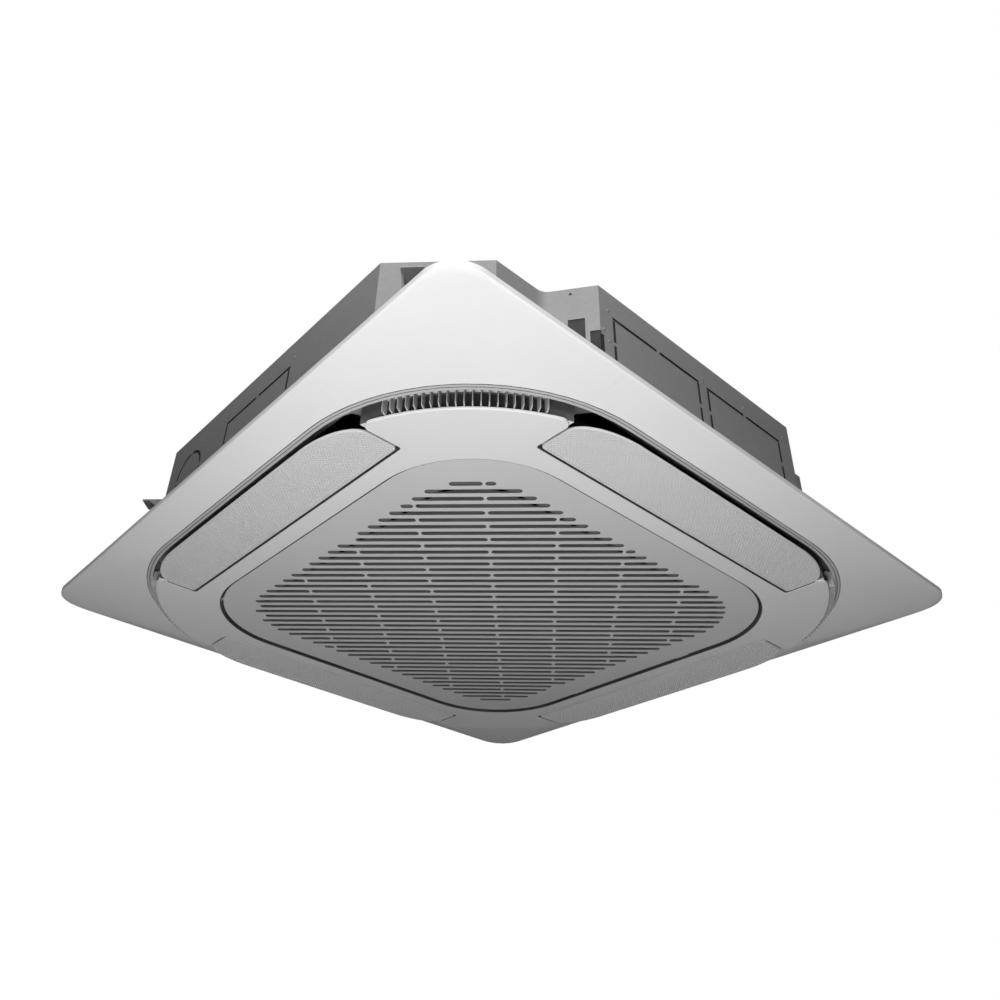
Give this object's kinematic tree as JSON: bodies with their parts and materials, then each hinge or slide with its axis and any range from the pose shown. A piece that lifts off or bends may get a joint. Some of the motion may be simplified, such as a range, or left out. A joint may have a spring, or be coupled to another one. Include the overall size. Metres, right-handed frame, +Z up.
{
  "type": "ceiling cassette air conditioner",
  "caption": "Square ceiling panel with bowed inner lip, outlet vanes round a slotted intake grille, below a sheet-metal body holding a turbo fan, coil and drain pump.",
  "frame": {"origin": "on the vertical centre line, in the lowest plane of the panel", "axes": "+Z up, towards the ceiling; +X towards the drain side, +Y towards the pipe side; the picture looks at the corner at -X -Y from below"},
  "size_m": [0.95, 0.95, 0.217],
  "materials": {
    "panel": "satin moulded, white",
    "comb": "satin moulded, grey",
    "vane": "fine woven texture, light grey",
    "black_plastic": "satin moulded, black",
    "grille": "satin moulded, light grey",
    "filter_net": "woven net, dark",
    "sheet_metal": "zinc-coated, dull",
    "foam": "moulded bead foam",
    "rubber": "dull",
    "coil_fins": "fine upright fins",
    "copper": "drawn copper tube",
    "brass": "machined",
    "grey_plastic": "satin moulded, grey",
    "circuit_board": "lacquered board"
  },
  "bodies": {
    "unit": {"panel_frame": "panel", "panel_base": "panel", "corner_cover_1": "panel", "corner_cover_2": "panel", "corner_cover_3": "panel", "corner_cover_4": "panel", "corner_comb_1": "comb", "corner_comb_2": "comb", "corner_comb_3": "comb", "corner_comb_4": "comb", "vane_motor_1": "black_plastic", "vane_motor_2": "black_plastic", "vane_motor_3": "black_plastic", "vane_motor_4": "black_plastic", "drain_pump": "black_plastic", "float_guide": "black_plastic", "terminal_block": "black_plastic", "casing": "sheet_metal", "hanger_bracket_1": "sheet_metal", "hanger_bracket_2": "sheet_metal", "hanger_bracket_3": "sheet_metal", "hanger_bracket_4": "sheet_metal", "pipe_plate": "sheet_metal", "fan_motor": "sheet_metal", "control_box": "sheet_metal", "control_cover": "sheet_metal", "casing_liner": "foam", "drain_pan": "foam", "drain_plug": "rubber", "motor_mount_1": "rubber", "motor_mount_2": "rubber", "motor_mount_3": "rubber", "cable_bush": "rubber", "coil": "coil_fins", "return_bends": "copper", "coil_header": "copper", "gas_pipe": "copper", "liquid_pipe": "copper", "gas_flare_nut": "brass", "liquid_flare_nut": "brass", "drain_tube": "grey_plastic", "bell_mouth": "grey_plastic", "control_board": "circuit_board"},
    "fan": {"turbo_fan": "grey_plastic", "fan_nut": "brass"},
    "vane_1": {"vane_1": "vane"},
    "vane_2": {"vane_2": "vane"},
    "vane_3": {"vane_3": "vane"},
    "vane_4": {"vane_4": "vane"},
    "grille": {"intake_grille": "grille", "pre_filter": "filter_net"},
    "catch_1": {"grille_catch_1": "black_plastic"},
    "catch_2": {"grille_catch_2": "black_plastic"},
    "float": {"float": "grey_plastic"}
  },
  "joints": [
    {"name": "fan_spin", "type": "hinge", "parent": "unit", "child": "fan", "pos_m": [0, 0, 0.11], "axis": [0, 0, 1], "continuous": true},
    {"name": "vane_1_swing", "type": "hinge", "parent": "unit", "child": "vane_1", "pos_m": [0.356, 0, 0.0062], "axis": [0, 1, 0], "range_deg": [0, 65]},
    {"name": "vane_2_swing", "type": "hinge", "parent": "unit", "child": "vane_2", "pos_m": [0, 0.356, 0.0062], "axis": [-1, 0, 0], "range_deg": [0, 65]},
    {"name": "vane_3_swing", "type": "hinge", "parent": "unit", "child": "vane_3", "pos_m": [-0.356, 0, 0.0062], "axis": [0, -1, 0], "range_deg": [0, 65]},
    {"name": "vane_4_swing", "type": "hinge", "parent": "unit", "child": "vane_4", "pos_m": [0, -0.356, 0.0062], "axis": [1, 0, 0], "range_deg": [0, 65]},
    {"name": "grille_hinge", "type": "hinge", "parent": "unit", "child": "grille", "pos_m": [-0.3062, 0, 0.0028], "axis": [0, 1, 0], "range_deg": [0, 90]},
    {"name": "catch_1_slide", "type": "slide", "parent": "grille", "child": "catch_1", "axis": [1, 0, 0], "range_m": [0, 0.0055]},
    {"name": "catch_2_slide", "type": "slide", "parent": "grille", "child": "catch_2", "axis": [1, 0, 0], "range_m": [0, 0.0055]},
    {"name": "float_rise", "type": "slide", "parent": "unit", "child": "float", "axis": [0, 0, 1], "range_m": [0, 0.018]}
  ]
}
